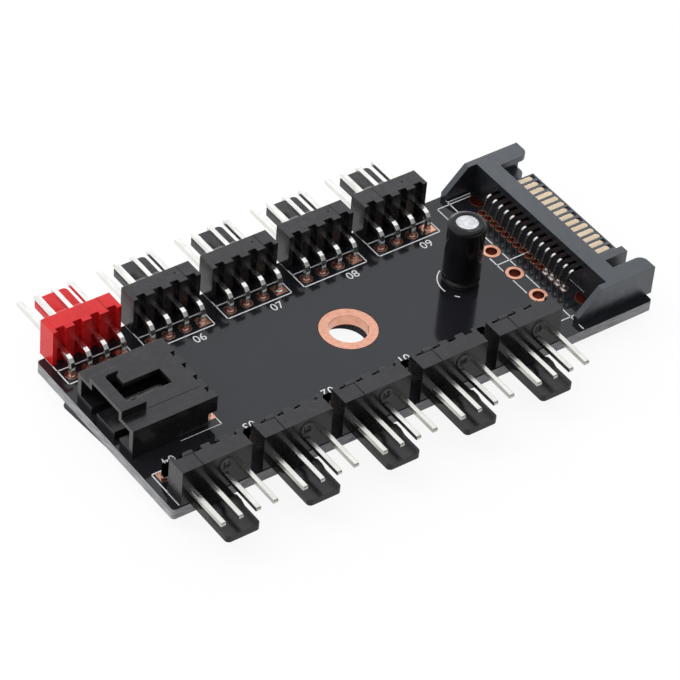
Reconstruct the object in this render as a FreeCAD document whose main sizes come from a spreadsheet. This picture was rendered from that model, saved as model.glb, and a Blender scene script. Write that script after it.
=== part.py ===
import FreeCAD, Part
import math
import os
import Sketcher
from FreeCAD import Vector

# A fan controller hub: a small circuit board that hands one control signal and one power feed
# to ten fans. Two rows of five right-angle headers line its long edges, a power plug sits at the
# right end, a shrouded signal input at the left end, and a foam pad under it keeps the solder
# joints off the case. X runs along the board to the power plug, Y from the front edge to the
# back edge, Z up. The origin is the centre of the mounting hole on the board's top face.

doc = FreeCAD.newDocument("pc_fan_controller_hub")
sheet = doc.addObject("Spreadsheet::Sheet", "sizes")

headers_in_row = 5
contact_groups = 5
contacts_in_group = 3
pins_in_header = 4
spare_holes = 4
small_hole_sides = 6
round_sides = 16
bend_steps = 3


class Size:
    """A length: its number, and the expression that ties it to the sheet."""

    def __init__(self, text, value):
        self.text = text
        self.value = value

    def __add__(self, other):
        other = as_size(other)
        return Size("(%s + %s)" % (self.text, other.text), self.value + other.value)

    def __sub__(self, other):
        other = as_size(other)
        return Size("(%s - %s)" % (self.text, other.text), self.value - other.value)

    def __mul__(self, other):
        other = as_size(other)
        return Size("(%s * %s)" % (self.text, other.text), self.value * other.value)

    def __truediv__(self, other):
        other = as_size(other)
        return Size("(%s / %s)" % (self.text, other.text), self.value / other.value)

    def __neg__(self):
        return Size("(0 - %s)" % self.text, -self.value)


def as_size(value):
    """A plain number as a Size, so that the two can be mixed."""
    if isinstance(value, Size):
        return value
    return Size(repr(float(value)), float(value))


rows_used = 0


def size(alias, value, note):
    """Write one driving dimension to the sheet and return it."""
    global rows_used
    rows_used += 1
    sheet.set("A%d" % rows_used, alias)
    sheet.set("B%d" % rows_used, str(value))
    sheet.set("C%d" % rows_used, note)
    sheet.setAlias("B%d" % rows_used, alias)
    return Size("sizes." + alias, float(value))


# Driving dimensions: the board
board_length = size("board_length", 75.0, "board along X")
board_width = size("board_width", 31.2, "board along Y")
board_thickness = size("board_thickness", 1.6, "laminate")
board_corner = size("board_corner", 0.5, "radius of the board's corners")
hole_from_left = size("hole_from_left", 37.47, "mounting hole to the left edge")
hole_from_front = size("hole_from_front", 15.96, "mounting hole to the front edge")
hole_diameter = size("hole_diameter", 5.3, "clear bore of the mounting hole")
ring_diameter = size("ring_diameter", 7.8, "copper ring of the mounting hole")
copper = size("copper", 0.05, "plating")
middle_offset = size("middle_offset", 0.6, "middle line of the plug and input behind the board's middle")
spare_from_plug = size("spare_from_plug", 0.82, "unused holes to the back of the plug")
spare_pitch = size("spare_pitch", 5.08, "between unused holes")
spare_bore = size("spare_bore", 1.6, "clear bore of an unused hole")

# Driving dimensions: the fan headers, of one kind in both rows
pin_pitch = size("pin_pitch", 2.54, "between pins")
pin_side = size("pin_side", 0.64, "square pin")
pin_axis = size("pin_axis", 2.4, "pin axis above the board")
pin_reach = size("pin_reach", 7.2, "pin beyond the housing")
pin_taper = size("pin_taper", 0.16, "bevel at the pin's tip")
pin_bend = size("pin_bend", 1.0, "radius of the bend on the pin's axis")
tail_length = size("tail_length", 1.1, "tail below the board")
tail_hole = size("tail_hole", 1.0, "hole for a tail in the board")
pin_gap = size("pin_gap", 0.01, "housing to pin, all round")
row_margin = size("row_margin", 1.19, "share of the row's free length before its first header")
header_gap = size("header_gap", 1.84, "share between two headers")
plug_clearance = size("plug_clearance", 4.15, "share between the last header and the plug")
rear_row = size("rear_row", 4.38, "rear pin row to the back edge")
front_row = size("front_row", 5.6, "front pin row to the front edge")
header_height = size("header_height", 5.6, "header above the board")
face_from_pins = size("face_from_pins", 5.5, "pin row to the header's outer face")
header_depth = size("header_depth", 3.0, "header without its tongue")
notch_width = size("notch_width", 1.25, "notch behind each pin")
notch_depth = size("notch_depth", 0.65, "depth of that notch")
tongue_reach = size("tongue_reach", 8.1, "tongue beyond the outer face")
tongue_width = size("tongue_width", 4.92, "tongue across")
tongue_thickness = size("tongue_thickness", 0.95, "tongue")
tongue_corner = size("tongue_corner", 0.6, "radius of the tongue's corners")
ridge_height = size("ridge_height", 0.37, "locking ridge above the tongue")
ridge_start = size("ridge_start", 2.2, "outer face to the ridge")
ridge_rise = size("ridge_rise", 0.6, "steep flank of the ridge")
ridge_crest = size("ridge_crest", 1.0, "flat of the ridge")
ridge_fall = size("ridge_fall", 0.8, "easy flank of the ridge")

# Driving dimensions: the power plug
plug_front = size("plug_front", 1.3, "plug to the front edge")
plug_back = size("plug_back", 0.1, "plug to the back edge")
plug_height = size("plug_height", 4.45, "plug above the board")
plug_depth = size("plug_depth", 12.3, "plug along X")
plug_overhang = size("plug_overhang", 0.8, "arms beyond the right edge")
cheek_thickness = size("cheek_thickness", 0.95, "side walls behind the bridge")
cheek_foot = size("cheek_foot", 0.95, "upright foot of a side wall")
bridge_start = size("bridge_start", 4.85, "back of the plug to the bridge")
bridge_depth = size("bridge_depth", 2.6, "bridge along X")
arm_width = size("arm_width", 2.75, "arm along Y")
arm_wall = size("arm_wall", 0.9, "outer wall of an arm")
arm_roof = size("arm_roof", 0.85, "upper flange of an arm")
arm_floor = size("arm_floor", 0.8, "lower flange of an arm")
arm_corner = size("arm_corner", 1.2, "radius of the flanges' inner corner")
blade_reach = size("blade_reach", 3.7, "contact tongue beyond the bridge")
blade_top = size("blade_top", 3.35, "top of the contact tongue")
blade_thickness = size("blade_thickness", 1.2, "contact tongue")
blade_margin = size("blade_margin", 0.66, "last contact's middle to the tongue's back end")
key_width = size("key_width", 1.22, "key wall at the tongue's front end")
contact_pitch = size("contact_pitch", 1.27, "between contacts")
contact_width = size("contact_width", 0.78, "contact on the tongue")
contact_thickness = size("contact_thickness", 0.2, "contact")
short_tip = size("short_tip", 2.95, "bridge to the tip of a short contact")
long_tip = size("long_tip", 3.4, "bridge to the tip of a long contact")
groove_reach = size("groove_reach", 3.45, "bridge to the end of a contact's groove")
contact_gap = size("contact_gap", 0.01, "plug to contact, each side")
contact_tip = size("contact_tip", 0.2, "cut corners of a contact's tip")
contact_tail = size("contact_tail", 0.3, "width of a contact's tail")
tail_lean = size("tail_lean", 0.53, "how far a tail leans to its hole")
tail_foot = size("tail_foot", 0.3, "height at which it is upright again")
contact_row = size("contact_row", 2.9, "back of the plug to the contacts' tails")
contact_bend = size("contact_bend", 0.7, "radius outside the contact's bend")
contact_hole = size("contact_hole", 0.8, "hole for a contact's tail")
peg_diameter = size("peg_diameter", 1.5, "plug's locating peg")
peg_gap = size("peg_gap", 0.05, "peg to its hole, all round")
peg_inset = size("peg_inset", 3.3, "peg to the plug's side")
peg_row = size("peg_row", 5.4, "back of the plug to the pegs")
peg_tip = size("peg_tip", 0.4, "peg below the board")

# Driving dimensions: the signal input
input_from_left = size("input_from_left", 0.65, "mouth to the left edge")
input_offset = size("input_offset", 0.2, "input's middle behind the middle line")
input_length = size("input_length", 12.45, "input along X")
input_width = size("input_width", 12.5, "input along Y")
input_height = size("input_height", 4.6, "shoulders above the board")
hood_height = size("hood_height", 5.8, "raised hood above the board")
hood_width = size("hood_width", 7.3, "hood along Y")
hood_length = size("hood_length", 3.65, "hood along X")
hood_lip = size("hood_lip", 1.6, "hood in front of its latch opening")
input_roof = size("input_roof", 0.6, "roof and hood walls")
input_wall = size("input_wall", 0.8, "side walls")
input_floor = size("input_floor", 1.2, "floor")
input_back = size("input_back", 2.05, "solid end behind the socket")
hood_offset = size("hood_offset", 0.05, "hood's middle behind the input's middle")
latch_width = size("latch_width", 5.4, "latch opening along Y")
latch_offset = size("latch_offset", 0.2, "its middle behind the input's middle")
latch_corner = size("latch_corner", 0.6, "radius of its front corners")
window_length = size("window_length", 5.35, "window behind the hood")
window_width = size("window_width", 2.9, "window along Y")
floor_slot = size("floor_slot", 1.2, "keying slot in the floor")
floor_slot_side = size("floor_slot_side", 2.6, "middle line to a keying slot's middle")
overhang_reach = size("overhang_reach", 1.25, "cut-back foot at the back")
overhang_height = size("overhang_height", 2.1, "cut-back above the board")
tail_slot = size("tail_slot", 0.9, "slot round a tail at the back")
tail_slot_depth = size("tail_slot_depth", 0.7, "depth of those slots")
tails_inset = size("tails_inset", 0.25, "back of the input to the row of tails")
input_pin_axis = size("input_pin_axis", 2.65, "pin axis above the board")
input_pin_shift = size("input_pin_shift", 0.6, "middle of the pins in front of the middle line")
input_pin_inset = size("input_pin_inset", 1.9, "mouth to the pins' tips")

# Driving dimensions: the capacitor
can_from_plug = size("can_from_plug", 7.88, "capacitor to the back of the plug")
can_offset = size("can_offset", 0.02, "capacitor in front of the middle line")
can_diameter = size("can_diameter", 4.9, "aluminium can")
can_height = size("can_height", 9.9, "top of the can above the board")
can_edge = size("can_edge", 0.5, "bevelled shoulder of the can")
sleeve_thickness = size("sleeve_thickness", 0.1, "sleeve on the can")
sleeve_lip = size("sleeve_lip", 1.05, "sleeve turned over the top")
crimp_height = size("crimp_height", 1.3, "middle of the crimped groove above the board")
crimp_depth = size("crimp_depth", 0.3, "depth of that groove")
crimp_half = size("crimp_half", 0.45, "half its height")
bung_inset = size("bung_inset", 0.35, "bung to the can's outside")
bung_height = size("bung_height", 0.7, "bung above the board")
lead_pitch = size("lead_pitch", 2.0, "between leads")
lead_diameter = size("lead_diameter", 0.5, "lead")
lead_hole = size("lead_hole", 0.8, "hole for a lead in the board")

# Driving dimensions: the foam pad
foam_thickness = size("foam_thickness", 1.6, "foam")
foam_left = size("foam_left", 0.3, "pad's back-left corner to the left edge")
foam_slant = size("foam_slant", 1.3, "how far the left end slants")
foam_front = size("foam_front", 7.2, "pad to the front edge")
foam_back = size("foam_back", 5.3, "pad to the back edge")
foam_from_plug = size("foam_from_plug", 3.7, "pad to the back of the plug")
foam_corner = size("foam_corner", 1.0, "radius of the pad's corners")
foam_hole = size("foam_hole", 6.8, "hole round the mounting hole")
foam_hole_left = size("foam_hole_left", 0.45, "that hole to the left of the bore")
foam_hole_back = size("foam_hole_back", 0.5, "and behind it")
relief_side = size("relief_side", 1.2, "foam to the middle of a solder joint")

# Places that the pieces share
zero = as_size(0)
left_edge = -hole_from_left
right_edge = left_edge + board_length
front_edge = -hole_from_front
back_edge = front_edge + board_width
underside = -board_thickness
half_pin = pin_side / 2
middle_y = front_edge + board_width / 2 + middle_offset
pins_span = pin_pitch * (pins_in_header - 1)
header_width = pin_pitch * pins_in_header
rear_row_y = back_edge - rear_row
front_row_y = front_edge + front_row
plug_x = right_edge + plug_overhang - plug_depth
plug_width = board_width - plug_front - plug_back
plug_y = front_edge + plug_front + plug_width / 2
contacts_all = contact_groups * contacts_in_group
contacts_span = contact_pitch * (contacts_all - 1)
contact_y = plug_y + contacts_span / 2
peg_spread = plug_width - peg_inset * 2
input_x = left_edge + input_from_left
input_y = middle_y + input_offset
input_pins_y = middle_y - input_pin_shift
input_cavity = input_length - input_back
input_pin_row = input_length - tails_inset
can_x = plug_x - can_from_plug
can_y = middle_y - can_offset
spare_x = plug_x - spare_from_plug
spare_y = middle_y - spare_pitch * (spare_holes - 1) / 2

# The headers of a row share the length that they leave free before the plug
free_length = plug_x - left_edge - header_width * headers_in_row
all_shares = row_margin + header_gap * (headers_in_row - 1) + plug_clearance
header_pitch = header_width + header_gap * free_length / all_shares
first_pin = pin_pitch / 2 + row_margin * free_length / all_shares


def bind(thing, prop, length):
    """Set a property of an object from a Size."""
    thing.setExpression(prop, length.text)


def body(label, x=zero, y=zero, z=zero):
    """An empty body with its own label and place."""
    piece = doc.addObject("PartDesign::Body", label)
    piece.Label = label
    piece.AllowCompound = True
    bind(piece, "Placement.Base.x", x)
    bind(piece, "Placement.Base.y", y)
    bind(piece, "Placement.Base.z", z)
    return piece


def origin_feature(piece, role):
    """One plane or axis of the body's own origin."""
    return [feature for feature in piece.Origin.OriginFeatures if feature.Role == role][0]


def sketch_on(piece, plane, name, offset=zero):
    """A sketch on one of the body's origin planes, moved along the plane's normal."""
    sketch = piece.newObject("Sketcher::SketchObject", piece.Name + "_" + name)
    sketch.AttachmentSupport = [(origin_feature(piece, plane), "")]
    sketch.MapMode = "FlatFace"
    bind(sketch, "AttachmentOffset.Base.z", offset)
    return sketch


def tie(sketch, kind, edge, point, length):
    """Hold one coordinate of a point of the sketch to a Size."""
    number = sketch.addConstraint(Sketcher.Constraint(kind, -1, 1, edge, point, length.value))
    bind(sketch, "Constraints[%d]" % number, length)


def outline(sketch, corners, rounds=None):
    """Close a loop through the corners; rounds gives a stretch its radius and its turn, left as +1."""
    rounds = rounds or {}
    first = sketch.GeometryCount
    count = len(corners)
    spots = [Vector(x.value, y.value, 0) for x, y in corners]
    starts = []
    ends = []
    for i in range(count):
        here = spots[i]
        there = spots[(i + 1) % count]
        if i not in rounds:
            sketch.addGeometry(Part.LineSegment(here, there), False)
            starts.append(1)
            ends.append(2)
            continue
        radius, turn = rounds[i]
        chord = there - here
        rise = math.sqrt(max(radius.value ** 2 - chord.Length ** 2 / 4, 0))
        side = Vector(-chord.y, chord.x, 0).normalize() * turn
        centre = (here + there) * 0.5 + side * rise
        begin, finish = (here, there) if turn > 0 else (there, here)
        angles = [math.atan2(spot.y - centre.y, spot.x - centre.x) for spot in (begin, finish)]
        circle = Part.Circle(centre, Vector(0, 0, 1), radius.value)
        sketch.addGeometry(Part.ArcOfCircle(circle, angles[0], angles[1]), False)
        starts.append(1 if turn > 0 else 2)
        ends.append(2 if turn > 0 else 1)
    for i in range(count):
        follows = (i + 1) % count
        joint = Sketcher.Constraint("Coincident", first + i, ends[i], first + follows, starts[follows])
        sketch.addConstraint(joint)
    for i, (x, y) in enumerate(corners):
        tie(sketch, "DistanceX", first + i, starts[i], x)
        tie(sketch, "DistanceY", first + i, starts[i], y)
    for i, (radius, turn) in rounds.items():
        number = sketch.addConstraint(Sketcher.Constraint("Radius", first + i, radius.value))
        bind(sketch, "Constraints[%d]" % number, radius)


def rectangle(sketch, x0, x1, y0, y1):
    """An upright rectangle between two places each way."""
    outline(sketch, [(x0, y0), (x1, y0), (x1, y1), (x0, y1)])


def rounded_rectangle(sketch, x0, x1, y0, y1, radius):
    """A rectangle with four equal round corners."""
    corners = [(x0 + radius, y0), (x1 - radius, y0), (x1, y0 + radius), (x1, y1 - radius),
               (x1 - radius, y1), (x0 + radius, y1), (x0, y1 - radius), (x0, y0 + radius)]
    outline(sketch, corners, {i: (radius, 1) for i in (1, 3, 5, 7)})


def disc(sketch, x, y, diameter):
    """A circle with its middle held to two Sizes."""
    radius = diameter.value / 2
    edge = sketch.addGeometry(Part.Circle(Vector(x.value, y.value, 0), Vector(0, 0, 1), radius), False)
    tie(sketch, "DistanceX", edge, 3, x)
    tie(sketch, "DistanceY", edge, 3, y)
    number = sketch.addConstraint(Sketcher.Constraint("Diameter", edge, diameter.value))
    bind(sketch, "Constraints[%d]" % number, diameter)


def faceted(sketch, x, y, across, sides):
    """A small round as an even polygon, its flats as far apart as the round is wide."""
    reach = across / 2 / math.cos(math.pi / sides)
    turns = [(i + 0.5) * 2 * math.pi / sides for i in range(sides)]
    outline(sketch, [(x + reach * math.cos(turn), y + reach * math.sin(turn)) for turn in turns])


def bend(x, y, radius, begin, end):
    """Corners of a bend round a centre, between two angles in degrees."""
    turns = [math.radians(begin + (end - begin) * i / bend_steps) for i in range(bend_steps + 1)]
    return [(x + radius * math.cos(turn), y + radius * math.sin(turn)) for turn in turns]


def pad(piece, sketch, length, down=False):
    """Raise the sketch along its plane's normal, or against it."""
    feature = piece.newObject("PartDesign::Pad", sketch.Name + "_pad")
    feature.Profile = sketch
    feature.Reversed = down
    bind(feature, "Length", length)
    sketch.Visibility = False
    return feature


def pocket(piece, sketch, length=None, forward=False):
    """Cut the sketch against its plane's normal, or along it, to a depth or through everything."""
    feature = piece.newObject("PartDesign::Pocket", sketch.Name + "_cut")
    feature.Profile = sketch
    feature.Reversed = forward
    if length is None:
        feature.Type = "ThroughAll"
    else:
        bind(feature, "Length", length)
    sketch.Visibility = False
    return feature


def repeat(piece, features, role, span, count):
    """Repeat features evenly over a span along one of the body's axes."""
    pattern = piece.newObject("PartDesign::LinearPattern", features[0].Name + "_row")
    pattern.Originals = features
    pattern.Direction = (origin_feature(piece, role), [""])
    bind(pattern, "Length", span)
    bind(pattern, "Occurrences", as_size(count))
    piece.Tip = pattern
    return pattern


def turned(piece, sketch):
    """Revolve the sketch once round its upright axis."""
    feature = piece.newObject("PartDesign::Revolution", sketch.Name + "_turned")
    feature.Profile = sketch
    feature.ReferenceAxis = (sketch, ["V_Axis"])
    feature.Angle = 360
    sketch.Visibility = False
    return feature


def edges_where(piece, test):
    """Names of the body's edges whose middle passes a test."""
    doc.recompute()
    shape = piece.Tip.Shape
    return ["Edge%d" % (i + 1) for i, edge in enumerate(shape.Edges) if test(edge.BoundBox)]


def rounded(piece, names, radius):
    """Round the named edges of the body's last feature."""
    base = piece.Tip
    feature = piece.newObject("PartDesign::Fillet", piece.Name + "_round")
    feature.Base = (base, names)
    bind(feature, "Radius", radius)
    piece.Tip = feature
    return feature


def near(value, length):
    """Whether a coordinate is at a Size's place."""
    return abs(value - length.value) < 1e-4


# The board, with its top face at Z = 0
def circuit_board():
    piece = body("circuit_board")
    plate = sketch_on(piece, "XY_Plane", "plate")
    rounded_rectangle(plate, left_edge, right_edge, front_edge, back_edge, board_corner)
    pad(piece, plate, board_thickness, down=True)

    bores = sketch_on(piece, "XY_Plane", "bores")
    disc(bores, zero, zero, hole_diameter + copper * 2)
    for i in range(spare_holes):
        faceted(bores, spare_x, spare_y + spare_pitch * i, spare_bore + copper * 2, round_sides)
    for side in (-1, 1):
        peg_y = plug_y + peg_spread / 2 * side
        faceted(bores, plug_x + peg_row, peg_y, peg_diameter + peg_gap * 2, round_sides)
    pocket(piece, bores)

    for name, level, forward in (("top_ring", zero, False), ("bottom_ring", underside, True)):
        ring = sketch_on(piece, "XY_Plane", name, level)
        disc(ring, zero, zero, ring_diameter)
        pocket(piece, ring, copper, forward)

    first_header = sketch_on(piece, "XY_Plane", "header_tails")
    for k in range(pins_in_header):
        tail_x = left_edge + first_pin + pin_pitch * k
        faceted(first_header, tail_x, rear_row_y, tail_hole, small_hole_sides)
        faceted(first_header, tail_x, front_row_y, tail_hole, small_hole_sides)
    cut = pocket(piece, first_header)
    repeat(piece, [cut], "X_Axis", header_pitch * (headers_in_row - 1), headers_in_row)

    first_input = sketch_on(piece, "XY_Plane", "input_tail")
    first_y = input_pins_y - pins_span / 2
    faceted(first_input, input_x + input_pin_row, first_y, tail_hole, small_hole_sides)
    cut = pocket(piece, first_input)
    repeat(piece, [cut], "Y_Axis", pins_span, pins_in_header)

    leads = sketch_on(piece, "XY_Plane", "leads")
    for side in (-1, 1):
        faceted(leads, can_x, can_y + lead_pitch / 2 * side, lead_hole, small_hole_sides)
    pocket(piece, leads)

    first_contact = sketch_on(piece, "XY_Plane", "contact_tail")
    last_y = contact_y - contacts_span + tail_lean
    faceted(first_contact, plug_x + contact_row, last_y, contact_hole, small_hole_sides)
    cut = pocket(piece, first_contact)
    repeat(piece, [cut], "Y_Axis", contacts_span, contacts_all)
    return piece


# The mounting hole's copper: a ring on each face and a barrel between them, flush with the faces
def mounting_hole_plating():
    piece = body("mounting_hole_plating")
    profile = sketch_on(piece, "XZ_Plane", "profile")
    inner = hole_diameter / 2
    outer = ring_diameter / 2
    outline(profile, [(inner, zero), (outer, zero), (outer, -copper), (inner + copper, -copper),
                      (inner + copper, underside + copper), (outer, underside + copper),
                      (outer, underside), (inner, underside)])
    turned(piece, profile)
    return piece


# The unused holes' copper barrels
def spare_hole_plating():
    piece = body("spare_hole_plating", spare_x, spare_y)
    barrel = sketch_on(piece, "XY_Plane", "barrel")
    faceted(barrel, zero, zero, spare_bore + copper * 2, round_sides)
    faceted(barrel, zero, zero, spare_bore, round_sides)
    tube = pad(piece, barrel, board_thickness, down=True)
    repeat(piece, [tube], "Y_Axis", spare_pitch * (spare_holes - 1), spare_holes)
    return piece


# A fan header's housing: a block with a comb of notches over the tails and a tongue with a locking
# ridge outside. Its own origin is the first tail on the board, and its Y points outwards.
def header_housing(label, x, y):
    piece = body(label, x, y)
    comb = face_from_pins - header_depth
    block_left = -pin_pitch / 2
    block = sketch_on(piece, "XY_Plane", "block")
    rectangle(block, block_left, block_left + header_width, comb, face_from_pins)
    pad(piece, block, header_height)

    tongue_left = pins_span - tongue_width
    tongue_end = face_from_pins + tongue_reach
    tongue = sketch_on(piece, "XY_Plane", "tongue")
    corners = [(tongue_left, face_from_pins), (pins_span, face_from_pins),
               (pins_span, tongue_end - tongue_corner), (pins_span - tongue_corner, tongue_end),
               (tongue_left + tongue_corner, tongue_end), (tongue_left, tongue_end - tongue_corner)]
    outline(tongue, corners, {2: (tongue_corner, 1), 4: (tongue_corner, 1)})
    pad(piece, tongue, tongue_thickness)

    ridge = sketch_on(piece, "YZ_Plane", "ridge", tongue_left)
    foot = face_from_pins + ridge_start
    crest = foot + ridge_rise
    top = tongue_thickness + ridge_height
    outline(ridge, [(foot, tongue_thickness), (crest, top), (crest + ridge_crest, top),
                    (crest + ridge_crest + ridge_fall, tongue_thickness)])
    pad(piece, ridge, tongue_width)

    notch = sketch_on(piece, "XY_Plane", "notch")
    rectangle(notch, -notch_width / 2, notch_width / 2, comb, comb + notch_depth)
    cut = pocket(piece, notch, header_height, forward=True)
    repeat(piece, [cut], "X_Axis", pins_span, pins_in_header)

    hole = sketch_on(piece, "XZ_Plane", "pin_hole")
    half = half_pin + pin_gap
    rectangle(hole, -half, half, pin_axis - half, pin_axis + half)
    bore = pocket(piece, hole)
    repeat(piece, [bore], "X_Axis", pins_span, pins_in_header)
    return piece


# Bent square pins in a row: each runs level, bends down and ends below the board. Their own
# origin is the first tail on the board, and their Y points to the tips.
def bent_pins(label, x, y, axis, tip):
    piece = body(label, x, y)
    wire = sketch_on(piece, "YZ_Plane", "wire", -half_pin)
    low = axis - half_pin
    high = axis + half_pin
    bottom = underside - tail_length
    turn = axis - pin_bend
    outer = bend(pin_bend, turn, pin_bend + half_pin, 90, 180)
    inner = bend(pin_bend, turn, pin_bend - half_pin, 180, 90)
    tail = [(-half_pin, bottom + pin_taper), (pin_taper - half_pin, bottom), (half_pin - pin_taper, bottom),
            (half_pin, bottom + pin_taper)]
    point = [(tip - pin_taper, low), (tip, low + pin_taper), (tip, high - pin_taper), (tip - pin_taper, high)]
    outline(wire, point + outer + tail + inner)
    bent = pad(piece, wire, pin_side)
    repeat(piece, [bent], "X_Axis", pins_span, pins_in_header)
    return piece


# The power plug's housing: sloping side walls behind, a bridge that carries the contacts, a
# tongue with a key wall, and an arm at each side that is open towards the tongue. Its own origin
# is the middle of its back on the board.
def plug_housing():
    piece = body("sata_housing", plug_x, plug_y)
    half = plug_width / 2
    side = sketch_on(piece, "XZ_Plane", "side", -half)
    slope = plug_height - cheek_foot
    outline(side, [(zero, zero), (plug_depth, zero), (plug_depth, plug_height), (slope, plug_height),
                   (zero, cheek_foot)])
    pad(piece, side, plug_width)

    back = sketch_on(piece, "XY_Plane", "back")
    inside = half - cheek_thickness
    rectangle(back, zero, bridge_start, -inside, inside)
    pocket(piece, back, plug_height, forward=True)

    bridge_end = bridge_start + bridge_depth
    between = half - arm_width
    mouth = sketch_on(piece, "XY_Plane", "mouth")
    rectangle(mouth, bridge_end, plug_depth, -between, between)
    pocket(piece, mouth, plug_height, forward=True)

    channel = sketch_on(piece, "YZ_Plane", "channel", plug_depth)
    hollow = half - arm_wall
    rectangle(channel, -hollow, hollow, arm_floor, plug_height - arm_roof)
    pocket(piece, channel, plug_depth - bridge_end)

    flanges = edges_where(piece, lambda box: near(box.XMin, plug_depth) and near(box.XMax, plug_depth)
                          and box.ZLength > 0.1 and near(abs(box.Center.y), between))
    rounded(piece, flanges, arm_corner)

    contacts_end = contacts_span / 2
    blade_back = contacts_end + blade_margin
    blade_front = -contacts_end - contact_width / 2 - contact_gap - key_width
    blade = sketch_on(piece, "YZ_Plane", "blade", bridge_end)
    key = blade_front + key_width
    low = blade_top - blade_thickness
    outline(blade, [(blade_front, low), (blade_back, low), (blade_back, blade_top), (key, blade_top),
                    (key, plug_height), (blade_front, plug_height)])
    pad(piece, blade, blade_reach)

    groove = sketch_on(piece, "YZ_Plane", "groove", bridge_end + groove_reach)
    wide = contact_width / 2 + contact_gap
    rectangle(groove, contacts_end - wide, contacts_end + wide, blade_top - contact_thickness, blade_top)
    cut = pocket(piece, groove)
    pattern = repeat(piece, [cut], "Y_Axis", contacts_span, contacts_all)
    pattern.Reversed = True

    pegs = sketch_on(piece, "XY_Plane", "pegs")
    for way in (-1, 1):
        faceted(pegs, peg_row, peg_spread / 2 * way, peg_diameter, round_sides)
    pad(piece, pegs, board_thickness + peg_tip, down=True)
    return piece


# A group of the plug's contacts: each lies in its groove, passes through the bridge, bends down
# behind it, leans to its hole and ends below the board. Its own origin is under its first bend.
def plug_contacts(label, y, reach):
    piece = body(label, plug_x + contact_row, y)
    tip = bridge_start + bridge_depth + reach - contact_row
    low = blade_top - contact_thickness
    half = contact_thickness / 2
    joined = bridge_start - contact_row
    wide = contact_width / 2
    strip = sketch_on(piece, "XY_Plane", "strip", low)
    outline(strip, [(joined, -wide), (tip - contact_tip, -wide), (tip, contact_tip - wide),
                    (tip, wide - contact_tip), (tip - contact_tip, wide), (joined, wide)])
    flat = pad(piece, strip, contact_thickness)

    turn = sketch_on(piece, "XZ_Plane", "turn", -contact_tail / 2)
    middle_x = contact_bend - half
    middle_z = blade_top - contact_bend
    outer = bend(middle_x, middle_z, contact_bend, 90, 180)
    inner = bend(middle_x, middle_z, contact_bend - contact_thickness, 180, 90)
    outline(turn, [(joined, low), (joined, blade_top)] + outer + inner)
    bent = pad(piece, turn, contact_tail)

    tail = sketch_on(piece, "YZ_Plane", "tail", -half)
    slim = contact_tail / 2
    bottom = underside - tail_length
    outline(tail, [(-slim, middle_z), (tail_lean - slim, tail_foot), (tail_lean - slim, bottom),
                   (tail_lean + slim, bottom), (tail_lean + slim, tail_foot), (slim, middle_z)])
    upright = pad(piece, tail, contact_thickness)
    group_span = contact_pitch * (contacts_in_group - 1)
    pattern = repeat(piece, [flat, bent, upright], "Y_Axis", group_span, contacts_in_group)
    pattern.Reversed = True
    return piece


# The signal input's housing: a socket with a raised hood over its mouth for the plug's latch.
# Its own origin is the middle of its mouth on the board, and its X points inwards.
def input_housing():
    piece = body("input_shroud", input_x, input_y)
    half = input_width / 2
    hood_front = hood_offset - hood_width / 2
    hood_back = hood_offset + hood_width / 2
    block = sketch_on(piece, "YZ_Plane", "block")
    rectangle(block, -half, half, zero, input_height)
    pad(piece, block, input_length)
    hood = sketch_on(piece, "YZ_Plane", "hood")
    rectangle(hood, hood_front, hood_back, input_floor, hood_height)
    pad(piece, hood, hood_length)

    socket = sketch_on(piece, "YZ_Plane", "socket")
    rectangle(socket, input_wall - half, half - input_wall, input_floor, input_height - input_roof)
    pocket(piece, socket, input_cavity, forward=True)
    raised = sketch_on(piece, "YZ_Plane", "raised")
    ceiling = hood_height - input_roof
    rectangle(raised, hood_front + input_roof, hood_back - input_roof, input_floor, ceiling)
    pocket(piece, raised, hood_length, forward=True)

    latch = sketch_on(piece, "XY_Plane", "latch", hood_height)
    latch_front = latch_offset - latch_width / 2
    latch_back = latch_offset + latch_width / 2
    outline(latch, [(hood_lip + latch_corner, latch_front), (hood_length, latch_front),
                    (hood_length, latch_back), (hood_lip + latch_corner, latch_back),
                    (hood_lip, latch_back - latch_corner), (hood_lip, latch_front + latch_corner)],
            {3: (latch_corner, 1), 5: (latch_corner, 1)})
    pocket(piece, latch, hood_height - input_floor)
    window = sketch_on(piece, "XY_Plane", "window", hood_height)
    half_window = window_width / 2
    rectangle(window, hood_length, hood_length + window_length,
              latch_offset - half_window, latch_offset + half_window)
    pocket(piece, window, hood_height - input_floor)

    keys = sketch_on(piece, "XY_Plane", "keys")
    for way in (-1, 1):
        middle = floor_slot_side * way - input_offset
        rectangle(keys, zero, hood_length, middle - floor_slot / 2, middle + floor_slot / 2)
    pocket(piece, keys, input_floor, forward=True)

    foot = sketch_on(piece, "XY_Plane", "foot")
    rectangle(foot, input_length - overhang_reach, input_length, -half, half)
    pocket(piece, foot, overhang_height, forward=True)

    slot = sketch_on(piece, "XY_Plane", "slot", input_height)
    first = -input_offset - input_pin_shift - pins_span / 2
    slot_start = input_length - tail_slot_depth
    rectangle(slot, slot_start, input_length, first - tail_slot / 2, first + tail_slot / 2)
    cut = pocket(piece, slot, input_height)
    repeat(piece, [cut], "Y_Axis", pins_span, pins_in_header)
    room = sketch_on(piece, "XY_Plane", "room")
    room_start = input_length - overhang_reach
    rectangle(room, room_start, input_length, first - tail_slot / 2, first + tail_slot / 2)
    cut = pocket(piece, room, input_pin_axis, forward=True)
    repeat(piece, [cut], "Y_Axis", pins_span, pins_in_header)

    hole = sketch_on(piece, "YZ_Plane", "pin_hole", input_cavity)
    wide = half_pin + pin_gap
    rectangle(hole, first - wide, first + wide, input_pin_axis - wide, input_pin_axis + wide)
    bore = pocket(piece, hole, input_length - input_cavity, forward=True)
    repeat(piece, [bore], "Y_Axis", pins_span, pins_in_header)
    return piece


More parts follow.
